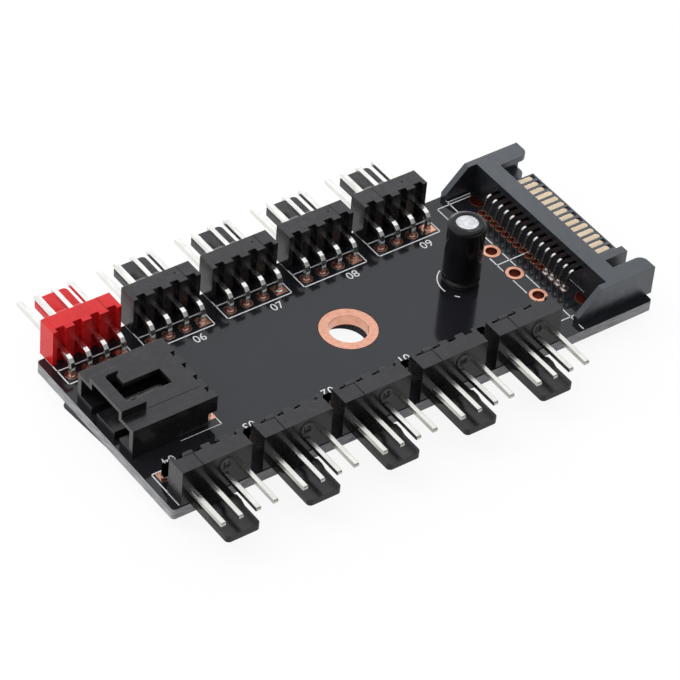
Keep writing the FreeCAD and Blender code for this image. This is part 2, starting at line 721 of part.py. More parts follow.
# The capacitor, turned about its own upright axis on the board
def can_outline(radius, edge, top):
    """The can's outside from its open end to its shoulder: a crimped groove, a wall and a bevel."""
    waist = radius - crimp_depth
    return [(radius, bung_height), (radius, crimp_height - crimp_half), (waist, crimp_height),
            (radius, crimp_height + crimp_half), (radius, top - edge), (radius - edge, top)]


def capacitor_can():
    piece = body("capacitor_can", can_x, can_y)
    profile = sketch_on(piece, "XZ_Plane", "profile")
    outline(profile, [(zero, bung_height)] + can_outline(can_diameter / 2, can_edge, can_height)
            + [(zero, can_height)])
    turned(piece, profile)
    return piece


def capacitor_sleeve():
    piece = body("capacitor_sleeve", can_x, can_y)
    radius = can_diameter / 2
    outer = radius + sleeve_thickness
    top = can_height + sleeve_thickness
    inside = can_outline(radius, can_edge, can_height)
    outside = can_outline(outer, can_edge + sleeve_thickness / 2, top)
    profile = sketch_on(piece, "XZ_Plane", "profile")
    lip = [(outer - sleeve_lip, top), (outer - sleeve_lip, can_height)]
    outline(profile, outside + lip + inside[::-1])
    turned(piece, profile)
    return piece


def capacitor_bung():
    piece = body("capacitor_bung", can_x, can_y)
    seal = sketch_on(piece, "XY_Plane", "seal")
    disc(seal, zero, zero, can_diameter - bung_inset * 2)
    pad(piece, seal, bung_height)
    return piece


def capacitor_leads():
    piece = body("capacitor_leads", can_x, can_y)
    lead = sketch_on(piece, "XY_Plane", "lead")
    for way in (-1, 1):
        faceted(lead, zero, lead_pitch / 2 * way, lead_diameter, round_sides)
    pad(piece, lead, board_thickness + tail_length, down=True)
    return piece


# The foam pad under the board, cut by hand at a slight angle, with room for the solder joints
def foam_pad():
    piece = body("foam_pad", z=underside)
    shape = sketch_on(piece, "XY_Plane", "shape")
    back = back_edge - foam_back
    front = front_edge + foam_front
    left = left_edge + foam_left
    right = plug_x - foam_from_plug
    outline(shape, [(left + foam_slant, front), (right - foam_corner, front), (right, front + foam_corner),
                    (right, back - foam_corner), (right - foam_corner, back), (left + foam_corner, back),
                    (left, back - foam_corner)],
            {1: (foam_corner, 1), 3: (foam_corner, 1), 5: (foam_corner, 1)})
    pad(piece, shape, foam_thickness, down=True)

    room = sketch_on(piece, "XY_Plane", "room")
    disc(room, -foam_hole_left, foam_hole_back, foam_hole)
    tails_x = input_x + input_pin_row
    tails_half = pins_span / 2 + relief_side
    rectangle(room, tails_x - relief_side, tails_x + relief_side,
              input_pins_y - tails_half, input_pins_y + tails_half)
    leads_half = lead_pitch / 2 + relief_side
    rectangle(room, can_x - relief_side, can_x + relief_side, can_y - leads_half, can_y + leads_half)
    pocket(piece, room)
    return piece


def turn_round(piece):
    """Turn a body half round about the upright axis, in its place."""
    piece.Placement.Rotation = FreeCAD.Rotation(Vector(0, 0, 1), 180)


pieces = [circuit_board(),
          mounting_hole_plating(),
          spare_hole_plating()]

# The first header of the rear row is the red one that reads back the fan's speed
header_tip = face_from_pins + pin_reach
for i in range(headers_in_row):
    first_x = left_edge + first_pin + header_pitch * i
    pieces.append(header_housing("rear_header_housing_%d" % (i + 1), first_x, rear_row_y))
    pieces.append(bent_pins("rear_header_pins_%d" % (i + 1), first_x, rear_row_y, pin_axis, header_tip))
for i in range(headers_in_row):
    last_x = left_edge + first_pin + header_pitch * i + pins_span
    turned_pieces = [header_housing("front_header_housing_%d" % (i + 1), last_x, front_row_y),
                     bent_pins("front_header_pins_%d" % (i + 1), last_x, front_row_y, pin_axis, header_tip)]
    for piece in turned_pieces:
        turn_round(piece)
    pieces += turned_pieces

pieces.append(plug_housing())
for group in range(contact_groups):
    first_y = contact_y - contact_pitch * (contacts_in_group * group)
    reach = long_tip if group % 2 else short_tip
    pieces.append(plug_contacts("sata_contacts_%d" % (group + 1), first_y, reach))

pieces.append(input_housing())
input_pins = bent_pins("input_pins", input_x + input_pin_row, input_pins_y - pins_span / 2,
                       input_pin_axis, input_pin_row - input_pin_inset)
input_pins.Placement.Rotation = FreeCAD.Rotation(Vector(0, 0, 1), 90)
pieces.append(input_pins)
pieces += [capacitor_can(), capacitor_sleeve(), capacitor_bung(), capacitor_leads(), foam_pad()]

doc.recompute()

for thing in doc.Objects:
    if "Invalid" in thing.State or "Error" in thing.State:
        raise RuntimeError("failed object: " + thing.Name)
for piece in pieces:
    if piece.Shape.isNull() or not piece.Shape.isValid():
        raise RuntimeError("bad shape: " + piece.Label)

os.makedirs("parts", exist_ok=True)
for piece in pieces:
    piece.Shape.exportStep("parts/%s.step" % piece.Label)
print("pieces", len(pieces))
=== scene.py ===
# %% [markdown]
# A fan controller hub, seen from above its front left corner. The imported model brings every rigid
# piece in its place. This script adds the thin things that lie on them (copper pads, solder, white
# print), gives each piece its finish, and sets the floor, the light and the camera.

# %% load the frame
import bmesh
import bpy
import numpy as np
from mathutils import Matrix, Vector
from mathutils.geometry import delaunay_2d_cdt


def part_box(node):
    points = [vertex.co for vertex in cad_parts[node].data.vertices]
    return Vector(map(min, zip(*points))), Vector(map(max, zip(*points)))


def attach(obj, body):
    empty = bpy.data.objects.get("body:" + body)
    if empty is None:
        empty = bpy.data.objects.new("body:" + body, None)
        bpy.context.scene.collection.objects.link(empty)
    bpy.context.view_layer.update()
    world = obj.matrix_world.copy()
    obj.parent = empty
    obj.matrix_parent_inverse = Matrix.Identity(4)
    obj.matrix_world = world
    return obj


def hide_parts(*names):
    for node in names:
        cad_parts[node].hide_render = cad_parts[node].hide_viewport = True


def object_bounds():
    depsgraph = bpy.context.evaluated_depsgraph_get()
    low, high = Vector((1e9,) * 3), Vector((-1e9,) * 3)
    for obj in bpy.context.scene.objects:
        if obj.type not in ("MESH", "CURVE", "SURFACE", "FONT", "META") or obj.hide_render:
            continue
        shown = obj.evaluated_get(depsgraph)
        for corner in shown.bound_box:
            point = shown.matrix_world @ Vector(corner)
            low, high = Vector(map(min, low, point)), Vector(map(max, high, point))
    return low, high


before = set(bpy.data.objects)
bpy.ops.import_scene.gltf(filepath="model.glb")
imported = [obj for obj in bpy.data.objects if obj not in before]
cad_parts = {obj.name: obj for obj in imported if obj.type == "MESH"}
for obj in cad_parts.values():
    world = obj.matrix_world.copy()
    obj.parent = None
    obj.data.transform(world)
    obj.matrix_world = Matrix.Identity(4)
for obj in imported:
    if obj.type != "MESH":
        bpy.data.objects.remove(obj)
cad_box = [list(corner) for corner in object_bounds()]
print("pieces in the frame:", len(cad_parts))

# %% [markdown]
# Everything below is worked out in millimetres, because the board's own sizes read best that way,
# and it is turned into metres when a mesh is made. Places are counted from the board's front left
# corner, as a maker would measure them with a ruler.

# %% places on the board
MM = 0.001
board_low, board_high = (np.array(corner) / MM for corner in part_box("circuit_board"))
corner_x, corner_y, underside = board_low
board_length, board_width = (board_high - board_low)[:2]
pin_pitch = 2.54
header_pitch = 12.0
header_count = 5
header_pins = 4
first_pin = 2.46
pins = np.arange(header_pins) * pin_pitch
first_pins = first_pin + header_pitch * np.arange(header_count)
rear_row = board_width - 4.38
front_row = 5.6
plug_middle = 16.2
print("board", board_length, "by", board_width, "by", -underside)


# %% [markdown]
# One helper puts arrays of points and faces into a mesh, gives it its finish, and rides the piece
# on the root body.

# %% from arrays to a piece
def make_piece(name, points, faces, finish, smooth=False):
    """A mesh object from points in millimetres and an array of faces, riding on the board."""
    mesh = bpy.data.meshes.new(name)
    points = np.asarray(points).reshape(-1, 3) * MM
    mesh.from_pydata(points.tolist(), [], np.asarray(faces).tolist())
    mesh.validate()
    mesh.polygons.foreach_set("use_smooth", np.full(len(mesh.polygons), smooth))
    mesh.update()
    mesh.materials.append(finish)
    piece = bpy.data.objects.new(name, mesh)
    bpy.context.scene.collection.objects.link(piece)
    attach(piece, "root")
    print(name, "faces", len(mesh.polygons))
    return piece


def on_board(places, height=0.0):
    """Places from the board's front left corner, as points of the frame at one height."""
    places = np.asarray(places, float).reshape(-1, 2)
    return np.column_stack([places + [corner_x, corner_y], np.full(len(places), height)])


# %% [markdown]
# Rings, arcs and the foam's sides are all grids of points: rows that each close on themselves like
# a hoop. So their faces come from one helper, and only the places of the points differ.

# %% faces of a grid
def grid_quads(rows, columns, closed=False):
    """Each face joins a point, its neighbour in the row, and the same two in the next row.

    With closed, the last row is joined to the first as well.
    """
    i, j = np.meshgrid(np.arange(rows if closed else rows - 1), np.arange(columns), indexing="ij")
    i_next, j_next = (i + 1) % rows, (j + 1) % columns
    corners = [(i, j), (i, j_next), (i_next, j_next), (i_next, j)]
    return np.stack([row * columns + column for row, column in corners], -1).reshape(-1, 4)


# %% [markdown]
# Pads, solder joints and printed rings are all the same idea: a small outline of radius and height
# carried once round a centre. Blender's own Screw modifier could do it, one object at a time. Doing
# every centre in one array keeps Python out of the loop and makes one piece of a whole row.

# %% rings round many centres
def band(inner, outer, low, skin):
    """The outline of a flat ring: a rectangle of radius and height, counter-clockwise."""
    return [(inner, low), (outer, low), (outer, low + skin), (inner, low + skin)]


def rings(name, centres, outline, finish, steps=28, square=None, smooth=True, to_front=False):
    """Each point is its centre plus radius times the cosine and sine of the turn, at its height.

    outline is a closed loop of radius and height, counter-clockwise with the radius to the right.
    Where square is true for a centre, the outer radius grows by one over the larger of the cosine
    and the sine of the turn, which makes the ring's outside a square. With to_front, the rings
    are tipped over to face the front: their height runs forwards, and their y runs upwards.
    """
    centres = np.asarray(centres, float)
    outline = np.asarray(outline, float)
    turn = np.arange(steps) * 2 * np.pi / steps + np.pi / 4
    cosine, sine = np.cos(turn), np.sin(turn)
    reach = np.ones((len(centres), len(outline), steps))
    if square is not None:
        outer = outline[:, 0] >= outline[:, 0].max() - 1e-9
        corner = 1 / np.maximum(abs(cosine), abs(sine))
        reach = np.where(np.asarray(square)[:, None, None] & outer[None, :, None], corner, reach)
    radius = outline[None, :, :1] * reach
    level = np.broadcast_to(outline[None, :, 1:], radius.shape)
    if to_front:
        points = np.stack([radius * cosine, -level, radius * sine], -1)
    else:
        points = np.stack([radius * cosine, radius * sine, level], -1)
    points = points + centres[:, None, None, :]
    count = len(outline)
    first_points = np.arange(len(centres))[:, None, None] * count * steps
    faces = first_points + grid_quads(count, steps, closed=True)
    return make_piece(name, points, faces.reshape(-1, 4), finish, smooth)


# %% [markdown]
# Printed lines are thin bars. A real print is about 0.02 mm thick, just enough to catch an edge of
# light, so each bar is a closed box and not a flat strip that would flicker with the board's face.

# %% bars along many lines
ink_skin = 0.02


def bars(name, lines, width, finish, low=0.0, skin=ink_skin):
    """Each bar's corners are its two ends, moved half a width along and to each side."""
    lines = np.asarray(lines, float)
    starts, ends = lines[:, :2], lines[:, 2:]
    ahead = ends - starts
    ahead /= np.linalg.norm(ahead, axis=1, keepdims=True)
    ahead = ahead * width / 2
    aside = np.column_stack([-ahead[:, 1], ahead[:, 0]])
    plan = np.stack([starts - ahead - aside, ends + ahead - aside,
                     ends + ahead + aside, starts - ahead + aside], 1)
    points = np.empty((len(lines), 2, 4, 3))
    points[..., :2] = (plan + [corner_x, corner_y])[:, None]
    points[..., 2] = np.array([low, low + skin])[None, :, None]
    box = np.array([(3, 2, 1, 0), (4, 5, 6, 7), (0, 1, 5, 4), (1, 2, 6, 5), (2, 3, 7, 6),
                    (3, 0, 4, 7)])
    faces = (np.arange(len(lines)) * 8)[:, None, None] + box
    return make_piece(name, points, faces.reshape(-1, 4), finish)


# %% [markdown]
# A finish is a small tree of nodes. In the Shader Editor they would be added and joined by hand.
# Here every node is made the same way: first its settings, then each input, which either gets a
# value or is linked to the output of a node made before it.

# %% nodes
def set_inputs(owner, node, inputs):
    """Give each input its value, or link it where the value is another node's output."""
    for socket, value in inputs.items():
        if isinstance(value, bpy.types.NodeSocket):
            owner.node_tree.links.new(value, node.inputs[socket])
        else:
            node.inputs[socket].default_value = value


def add_node(owner, kind, inputs=None, **settings):
    """A new node in a material or a world."""
    node = owner.node_tree.nodes.new("ShaderNode" + kind)
    for setting, value in settings.items():
        setattr(node, setting, value)
    set_inputs(owner, node, inputs or {})
    return node


def shader_of(material):
    """The Principled shader that every new material starts with."""
    return material.node_tree.nodes["Principled BSDF"]


def coordinate(material, axis):
    """How far a point of the piece lies along X, Y or Z, in metres."""
    place = add_node(material, "TexCoord")
    return add_node(material, "SeparateXYZ", {"Vector": place.outputs["Object"]}).outputs[axis]


def ramp(material, factor, stops):
    """A factor turned into colours: stops are a place from 0 to 1 and a colour or a grey level."""
    node = add_node(material, "ValToRGB", {"Fac": factor})
    elements = node.color_ramp.elements
    while len(elements) < len(stops):
        elements.new(0.5)
    for element, (place, colour) in zip(elements, stops):
        element.position = place
        element.color = (*np.broadcast_to(colour, 3), 1)
    return node.outputs["Color"]


# %% [markdown]
# Finishes share a start: a Principled shader whose colour and roughness are varied a little by
# noise, because no moulded or plated surface is even, and whose edges are eased by a Bevel node,
# because every real edge has a small radius that catches the light. All noise reads Object
# coordinates, so that it stays in place on the piece and has the same scale on every piece.

# %% a finish
def start_finish(name, colour, roughness, metallic=0.0, ior=1.5, edge=0.06, tint=(1, 1, 1)):
    """A material with its shader, and an eased edge as the normal that later bumps start from."""
    material = bpy.data.materials.new(name)
    material.use_nodes = True
    bevel = add_node(material, "Bevel", {"Radius": edge * MM}, samples=4)
    set_inputs(material, shader_of(material), {
        "Base Color": (*colour, 1), "Roughness": roughness, "Metallic": metallic, "IOR": ior,
        "Specular Tint": (*tint, 1), "Normal": bevel.outputs["Normal"]})
    return material


def noise(material, size, detail=3.0, stretch=(1, 1, 1)):
    """Noise whose grains are about size millimetres across, stretched along the axes."""
    place = add_node(material, "TexCoord")
    mapping = add_node(material, "Mapping", {"Vector": place.outputs["Object"],
                                             "Scale": tuple(1 / part for part in stretch)})
    texture = add_node(material, "TexNoise", {"Vector": mapping.outputs["Vector"],
                                              "Scale": 1 / (size * MM), "Detail": detail})
    return texture.outputs["Fac"]


def add_bump(material, height, depth):
    """Raise the surface by a height map, depth millimetres from black to white."""
    shader = shader_of(material)
    before = shader.inputs["Normal"].links[0].from_socket
    bump = add_node(material, "Bump", {"Strength": 1.0, "Distance": depth * MM, "Normal": before,
                                       "Height": height})
    set_inputs(material, shader, {"Normal": bump.outputs["Normal"]})


def add_spread(material, socket, factor, dark, light, low=0.3, high=0.7):
    """Drive a socket by a factor through a ramp from dark to light, between two stops."""
    spread = ramp(material, factor, [(low, dark), (high, light)])
    set_inputs(material, shader_of(material), {socket: spread})


# %% [markdown]
# The plastics are moulded nylon: near black, or red for the header that reports its fan's speed,
# with a fine spark-eroded grain from the mould. A finish with one colour and one roughness would
# look like paint, so both drift over a millimetre or two. The capacitor's shrunk film is smoother.

# %% plastics
def moulded_plastic(name, dark, light, smooth, rough, grain, edge=0.08, ior=1.5, tint=(1, 1, 1)):
    """Plastic whose colour and gloss drift slowly, with a fine even grain, grain mm deep."""
    colour_drift, gloss_drift, grain_size = 2.5, 0.9, 0.12
    material = start_finish(name, light, rough, ior=ior, edge=edge, tint=tint)
    add_spread(material, "Base Color", noise(material, colour_drift), dark, light)
    add_spread(material, "Roughness", noise(material, gloss_drift), smooth, rough)
    add_bump(material, noise(material, grain_size, detail=2.0), grain)
    return material


black_plastic = moulded_plastic("black_nylon", (0.006, 0.006, 0.007), (0.011, 0.011, 0.012),
                                smooth=0.20, rough=0.30, grain=0.004)
plug_plastic = moulded_plastic("grey_black_nylon", (0.010, 0.011, 0.014), (0.017, 0.019, 0.024),
                               smooth=0.26, rough=0.38, grain=0.003, ior=1.8,
                               tint=(0.87, 0.94, 1.0))
red_plastic = moulded_plastic("red_nylon", (0.56, 0.006, 0.008), (0.66, 0.010, 0.012),
                              smooth=0.24, rough=0.36, grain=0.004, ior=1.36)
sleeve_film = moulded_plastic("shrunk_film", (0.003, 0.003, 0.004), (0.007, 0.007, 0.008),
                              smooth=0.07, rough=0.14, grain=0.003, edge=0.3, ior=1.38)
seal_rubber = moulded_plastic("seal_rubber", (0.014, 0.014, 0.014), (0.030, 0.030, 0.030),
                              smooth=0.6, rough=0.8, grain=0.01)
# The next two finishes are painted shade: dark matt colour for thin strips that stand for the shade
# inside fine grooves.
groove_shade_black = moulded_plastic("mould_seam_painted_shade", (0.003, 0.003, 0.003), (0.006, 0.006, 0.006),
                             smooth=0.8, rough=0.95, grain=0.002, edge=0.01)
red_groove_shade = moulded_plastic("red_seam_painted_shade", (0.16, 0.001, 0.003), (0.22, 0.002, 0.004),
                            smooth=0.7, rough=0.9, grain=0.002, edge=0.01)
print("plastics made")


# %% [markdown]
# Metals: bright tin on the pins and joints, copper round the holes, from freshly bare to brown and
# black where flux and shade lie on it, and drawn aluminium on the capacitor's lid. Each gets fine
# scratches or a skin that drifts. Scratches are the same noise, stretched along the way of drawing.

# %% metals
def plated_metal(name, dark, light, smooth, rough, grain, stretch=(1, 1, 1), edge=0.04):
    """Metal whose colour and gloss drift, with scratches when the noise is stretched."""
    colour_drift, gloss_drift, scratch_size = 0.8, 0.4, 0.15
    material = start_finish(name, light, rough, metallic=1.0, edge=edge)
    add_spread(material, "Base Color", noise(material, colour_drift, stretch=stretch), dark, light)
    add_spread(material, "Roughness", noise(material, gloss_drift, stretch=stretch), smooth, rough)
    add_bump(material, noise(material, scratch_size, stretch=stretch), grain)
    return material


tin_dark, tin_light = (0.74, 0.73, 0.69), (0.93, 0.92, 0.88)
tin = plated_metal("bright_tin", tin_dark, tin_light,
                   smooth=0.14, rough=0.26, grain=0.004, stretch=(1, 4, 1), edge=0.12)
solder = plated_metal("solder", (0.55, 0.55, 0.54), (0.82, 0.82, 0.81),
                      smooth=0.16, rough=0.34, grain=0.02)
copper = plated_metal("bare_copper", (0.67, 0.32, 0.22), (0.79, 0.42, 0.30),
                      smooth=0.18, rough=0.30, grain=0.003)
brown_copper = plated_metal("brown_copper", (0.20, 0.055, 0.032), (0.36, 0.12, 0.078),
                            smooth=0.3, rough=0.45, grain=0.006)
dusky_copper = plated_metal("dusky_copper", (0.34, 0.20, 0.16), (0.56, 0.38, 0.31),
                            smooth=0.22, rough=0.36, grain=0.01)
black_copper = plated_metal("black_copper", (0.085, 0.012, 0.006), (0.15, 0.026, 0.013),
                            smooth=0.4, rough=0.55, grain=0.006)
aluminium = plated_metal("drawn_aluminium", (0.50, 0.50, 0.51), (0.71, 0.71, 0.72),
                         smooth=0.22, rough=0.36, grain=0.006)


# %% [markdown]
# Three sets of pins have shade painted along them. The plug's contacts are painted dim on their
# uprights and near black under their bridge, and turn pale gold beyond it, the front headers' pins
# are painted near black behind their housings, and the input's pins are painted darker inside the
# shroud. Separate pieces would show a seam, so one ramp along the pin multiplies the tin instead.

# %% tin with painted shade
def shade_painted_tin(name, axis, stops, stretch):
    """Tin whose colour is multiplied by a ramp of painted shade and gold along an axis: stops are a
    place in mm, a colour.
    """
    material = plated_metal(name, tin_dark, tin_light, smooth=0.16, rough=0.30, grain=0.003,
                            stretch=stretch, edge=0.1)
    shader = shader_of(material)
    begin, reach = stops[0][0], stops[-1][0] - stops[0][0]
    share = add_node(material, "MapRange", {
        "Value": coordinate(material, axis), "From Min": begin * MM,
        "From Max": (begin + reach) * MM})
    painted_shade_and_gold = ramp(material, share.outputs["Result"],
                 [((place - begin) / reach, colour) for place, colour in stops])
    clean = shader.inputs["Base Color"].links[0].from_socket
    both = add_node(material, "Mix", {"Factor": 1.0, "A": clean, "B": painted_shade_and_gold},
                    data_type="RGBA", blend_type="MULTIPLY")
    set_inputs(material, shader, {"Base Color": both.outputs["Result"], "Specular Tint": painted_shade_and_gold})
    return material


# Below, the black, the dim and the shaded levels are painted shade, and straw is the contacts'
# gold.
bright, painted_black_shade, straw = (0.95, 0.95, 0.93), (0.008, 0.008, 0.008), (0.77, 0.63, 0.48)
dusky, shaded_tin = (0.48, 0.47, 0.45), (0.22, 0.22, 0.22)
bridge = corner_x + board_length - 6.7
contact_tin = shade_painted_tin("tin_with_painted_shade_and_gold", "X", [
    (bridge - 1.80, dusky), (bridge - 1.68, bright), (bridge - 1.38, bright),
    (bridge - 1.18, painted_black_shade), (bridge + 1.0, painted_black_shade), (bridge + 1.4, straw)], (4, 1, 1))
tail_tin = shade_painted_tin("tin_with_painted_shade_on_tails", "Y", [
    (corner_y + 2.9, bright), (corner_y + 3.5, painted_black_shade)], (1, 4, 1))
shroud_tin = shade_painted_tin("tin_with_painted_shade_in_shroud", "X", [
    (corner_x + 10.2, shaded_tin), (corner_x + 10.8, bright)], (4, 1, 1))
print("metals made")


# %% [markdown]
# The board is glass cloth in resin under a glossy black mask. On its faces only the mask shows. On
# its sawn edges the cloth shows as pale streaks along the edge, so the finish asks the surface's
# own normal whether it faces sideways, and takes streaked grey there. The mask is not quite level
# either: a slow shallow bump lets the reflections in it swim a little.

# %% the board's finish
def board_finish():
    """Black gloss on the faces, and grey cloth with long thin streaks where the normal is level."""
    mask_drift, streak_width, ripple_size, ripple = 6.0, 0.25, 1.6, 0.002
    edge_rough, face_rough = 0.6, 0.09
    material = start_finish("black_mask_on_glass_cloth", (0.012, 0.012, 0.013), 0.1, edge=0.05,
                            tint=(0.96, 0.98, 1.0))
    geometry = add_node(material, "NewGeometry")
    normal = add_node(material, "SeparateXYZ", {"Vector": geometry.outputs["Normal"]})
    upright = add_node(material, "Math", {0: normal.outputs["Z"]}, operation="ABSOLUTE")
    face = add_node(material, "MapRange", {"Value": upright.outputs["Value"], "From Min": 0.2,
                                           "From Max": 0.6}).outputs["Result"]
    mask_colour = ramp(material, noise(material, mask_drift),
                       [(0, (0.008, 0.008, 0.010)), (1, (0.013, 0.013, 0.016))])
    cloth_colour = ramp(material, noise(material, streak_width, stretch=(8, 8, 0.5)),
                        [(0.32, (0.13, 0.13, 0.13)), (0.68, (0.42, 0.42, 0.43))])
    colour = add_node(material, "Mix", {"Factor": face, "A": cloth_colour, "B": mask_colour},
                      data_type="RGBA")
    gloss = add_node(material, "MapRange", {"Value": face, "To Min": edge_rough,
                                            "To Max": face_rough})
    set_inputs(material, shader_of(material), {"Base Color": colour.outputs["Result"],
                                               "Roughness": gloss.outputs["Result"]})
    add_bump(material, noise(material, ripple_size, detail=2.0), ripple)
    return material


mask = board_finish()
ink = start_finish("white_ink", (0.78, 0.78, 0.77), roughness=0.55, edge=0.01)
add_spread(ink, "Base Color", noise(ink, size=0.3), (0.62, 0.62, 0.61), (0.84, 0.84, 0.83))
add_bump(ink, noise(ink, size=0.08), depth=0.006)
print("board finish made")


# %% [markdown]
# The pad under the board is closed-cell foam: dark, matt, and pitted all over with cut cells. A
# cell pattern gives the pits, and its distance to the cell's middle gives their depth.

# %% the foam's finish
def foam_finish():
    """Dark matt foam with cells about a third of a millimetre across, paler on their rims."""
    cell_size, cell_depth = 0.35, 0.08
    material = start_finish("cut_foam", (0.03, 0.034, 0.04), 0.85, edge=0.15)
    place = add_node(material, "TexCoord")
    cells = add_node(material, "TexVoronoi", {"Vector": place.outputs["Object"],
                                              "Scale": 1 / (cell_size * MM)})
    to_middle = cells.outputs["Distance"]
    add_spread(material, "Base Color", to_middle, (0.016, 0.018, 0.021), (0.055, 0.060, 0.068),
               low=0.1, high=0.6)
    add_bump(material, to_middle, cell_depth)
    return material


foam = foam_finish()
print("foam finish made")

# %% [markdown]
# Each CAD node gets its finish. The CAD meshes stay as they are: only their material slots change.
# Numbered nodes share the start of their names, so the first row that a name starts with holds.

# %% dress the frame
finish_of = {
    "circuit_board": mask, "mounting_hole_plating": copper, "spare_hole_plating": black_copper,
    "rear_header_housing_1": red_plastic, "rear_header_housing": black_plastic,
    "front_header_housing": black_plastic, "rear_header_pins": tin, "front_header_pins": tail_tin,
    "sata_housing": plug_plastic, "sata_contacts": contact_tin, "input_shroud": black_plastic,
    "input_pins": shroud_tin, "capacitor_can": aluminium, "capacitor_sleeve": sleeve_film,
    "capacitor_bung": seal_rubber, "capacitor_leads": tin, "foam_pad": foam}
for name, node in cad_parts.items():
    finish = next(finish for start, finish in finish_of.items() if name.startswith(start))
    node.data.materials.clear()
    node.data.materials.append(finish)
print("dressed", len(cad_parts), "nodes")

# %% [markdown]
# Every pin ends in a tail that goes through a hole of the board. The tails stand in rows at their
# pitch, so a few named places and steps give them all, and pads, solder and print share them.

# %% tails and holes
rear_tails = np.array([(x + pin, rear_row) for x in first_pins for pin in pins])
front_tails = np.array([(x + pin, front_row) for x in first_pins for pin in pins])
tails = np.vstack([rear_tails, front_tails])
rear_square = np.tile([False, False, False, True], header_count)
front_square = np.tile([True, False, False, False], header_count)
squares = np.concatenate([rear_square, front_square])

input_row, input_middle = 12.85, 15.6
input_ys = input_middle - 1.5 * pin_pitch + pins
input_tails = np.column_stack([np.full(header_pins, input_row), input_ys])

can_middle = np.array([board_length - 19.38, 16.18])
lead_tails = can_middle + [(0, -1), (0, 1)]

contact_pitch, contact_count, contact_shift = 1.27, 15, 0.53
contact_ys = plug_middle + contact_shift + contact_pitch * np.arange(-7, 8)
contact_tails = np.column_stack([np.full(contact_count, board_length - 8.6), contact_ys])

spare_count, spare_pitch, first_spare = 4, 5.08, 8.56
spare_ys = first_spare + spare_pitch * np.arange(spare_count)
spare_holes = np.column_stack([np.full(spare_count, board_length - 12.32), spare_ys])
print("tails", len(tails) + len(input_tails) + len(lead_tails) + len(contact_tails))

# %% [markdown]
# Copper pads ring every tail, on both faces. The pad of pin 1 is square, as on most boards. Flux
# has stained the round pads at the back, so each of those is two rings, a dusky rim and a brown
# middle. Those under the front housings lie in deep shade, and are nearly black.

# %% pads
pad_skin = 0.03
header_hole, stain_edge, header_pad = 0.5, 0.76, 0.9
input_pad = 0.825
lead_hole, lead_pad = 0.4, 0.75
contact_hole, contact_stain, contact_pad = 0.4, 0.49, 0.62
spare_hole, spare_pad = 0.8, 1.27


def pads(name, places, inner, outer, square=None, finish=copper):
    """Flat copper rings on the board's top face, and the same again below it."""
    for side, level in (("top", 0.0), ("bottom", underside - pad_skin)):
        rings(f"{name}_{side}", on_board(places), band(inner, outer, level, pad_skin), finish,
              square=square, smooth=False)


order = np.arange(len(tails))
at_the_back = order < len(rear_tails)
shaded = order >= len(rear_tails) + 3
bare = ~shaded & (squares | ~at_the_back)
flux = ~shaded & ~bare
pads("header_pads", tails[bare], header_hole, header_pad, squares[bare])
pads("dusky_header_pads", tails[flux], stain_edge, header_pad, finish=dusky_copper)
pads("stained_header_pads", tails[flux], header_hole, stain_edge, finish=brown_copper)
pads("shaded_header_pads", tails[shaded], header_hole, header_pad, squares[shaded], black_copper)
pads("input_pads", input_tails, header_hole, input_pad, front_square[:header_pins])
pads("lead_pads", lead_tails, lead_hole, lead_pad)
pads("contact_pads", contact_tails, contact_stain, contact_pad)
pads("stained_contact_pads", contact_tails, contact_hole, contact_stain, finish=black_copper)
pads("spare_pads", spare_holes, spare_hole, spare_pad)

# %% [markdown]
# The black mask stops just short of each bare ring, and bare laminate shows there as a dark line.
# A groove in the board would need its mesh changed. A dark ring with almost no height looks alike:
# its black is painted, the laminate's dark colour and the shade in the groove together.

# %% gaps in the mask
gap, gap_skin = 0.07, 0.012


def mask_gaps(name, centres, radius, steps):
    """A dark ring on the board, a gap wide, just outside the copper's radius."""
    rings(name, centres, band(radius, radius + gap, 0.0, gap_skin), groove_shade_black,
          steps=steps, smooth=False)


mask_gaps("spare_mask_gaps", on_board(spare_holes), spare_pad, 28)
plating_low, plating_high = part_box("mounting_hole_plating")
mask_gaps("mounting_mask_gap", [(0.0, 0.0, 0.0)], (plating_high[0] - plating_low[0]) / 2 / MM, 72)

# %% [markdown]
# A wave of solder wets each tail from below and climbs its hole by capillary pull. Below the board
# it draws down the tail in a concave cone. In the hole it stops a little short of the top face.

# %% solder joints
joint_length = 0.75
fill_edge, fill_middle = -0.25, -0.45
barrel_clear, pole = 0.01, 0.02


def joints(name, places, hole, pad, tip):
    """A cone whose radius falls with the square of the drop, closed by a dished top in the hole."""
    drop = np.linspace(0, 1, 7)
    cone_radius = tip + (pad - tip) * (1 - drop) ** 2
    cone_level = underside - pad_skin - joint_length * drop
    cone = np.column_stack([cone_radius, cone_level])
    wall = hole - barrel_clear
    fill = [(wall, underside - pad_skin), (wall, fill_edge), (tip, fill_middle),
            (pole, fill_middle)]
    outline = np.array([(pole, cone_level[-1])] + cone[::-1].tolist() + fill)
    rings(name, on_board(places), outline, solder, steps=20)


joints("header_joints", tails, header_hole, pad=0.78, tip=0.40)
joints("input_joints", input_tails, header_hole, pad=0.78, tip=0.40)
joints("lead_joints", lead_tails, lead_hole, pad=0.7, tip=0.3)
joints("contact_joints", contact_tails, contact_hole, pad=0.56, tip=0.3)

# %% [markdown]
# Round each tail the top of the fill shows as a small dish that climbs the tail. The wave left
# bright solder there on some, and only stained copper on the others. Which is which is drawn at
# random from a fixed seed, so that the rows look worked by hand and stay the same in each run.

# %% collars
collar_foot, collar_rim = -0.2, 0.03
header_tail, header_collar = 0.3, 0.52


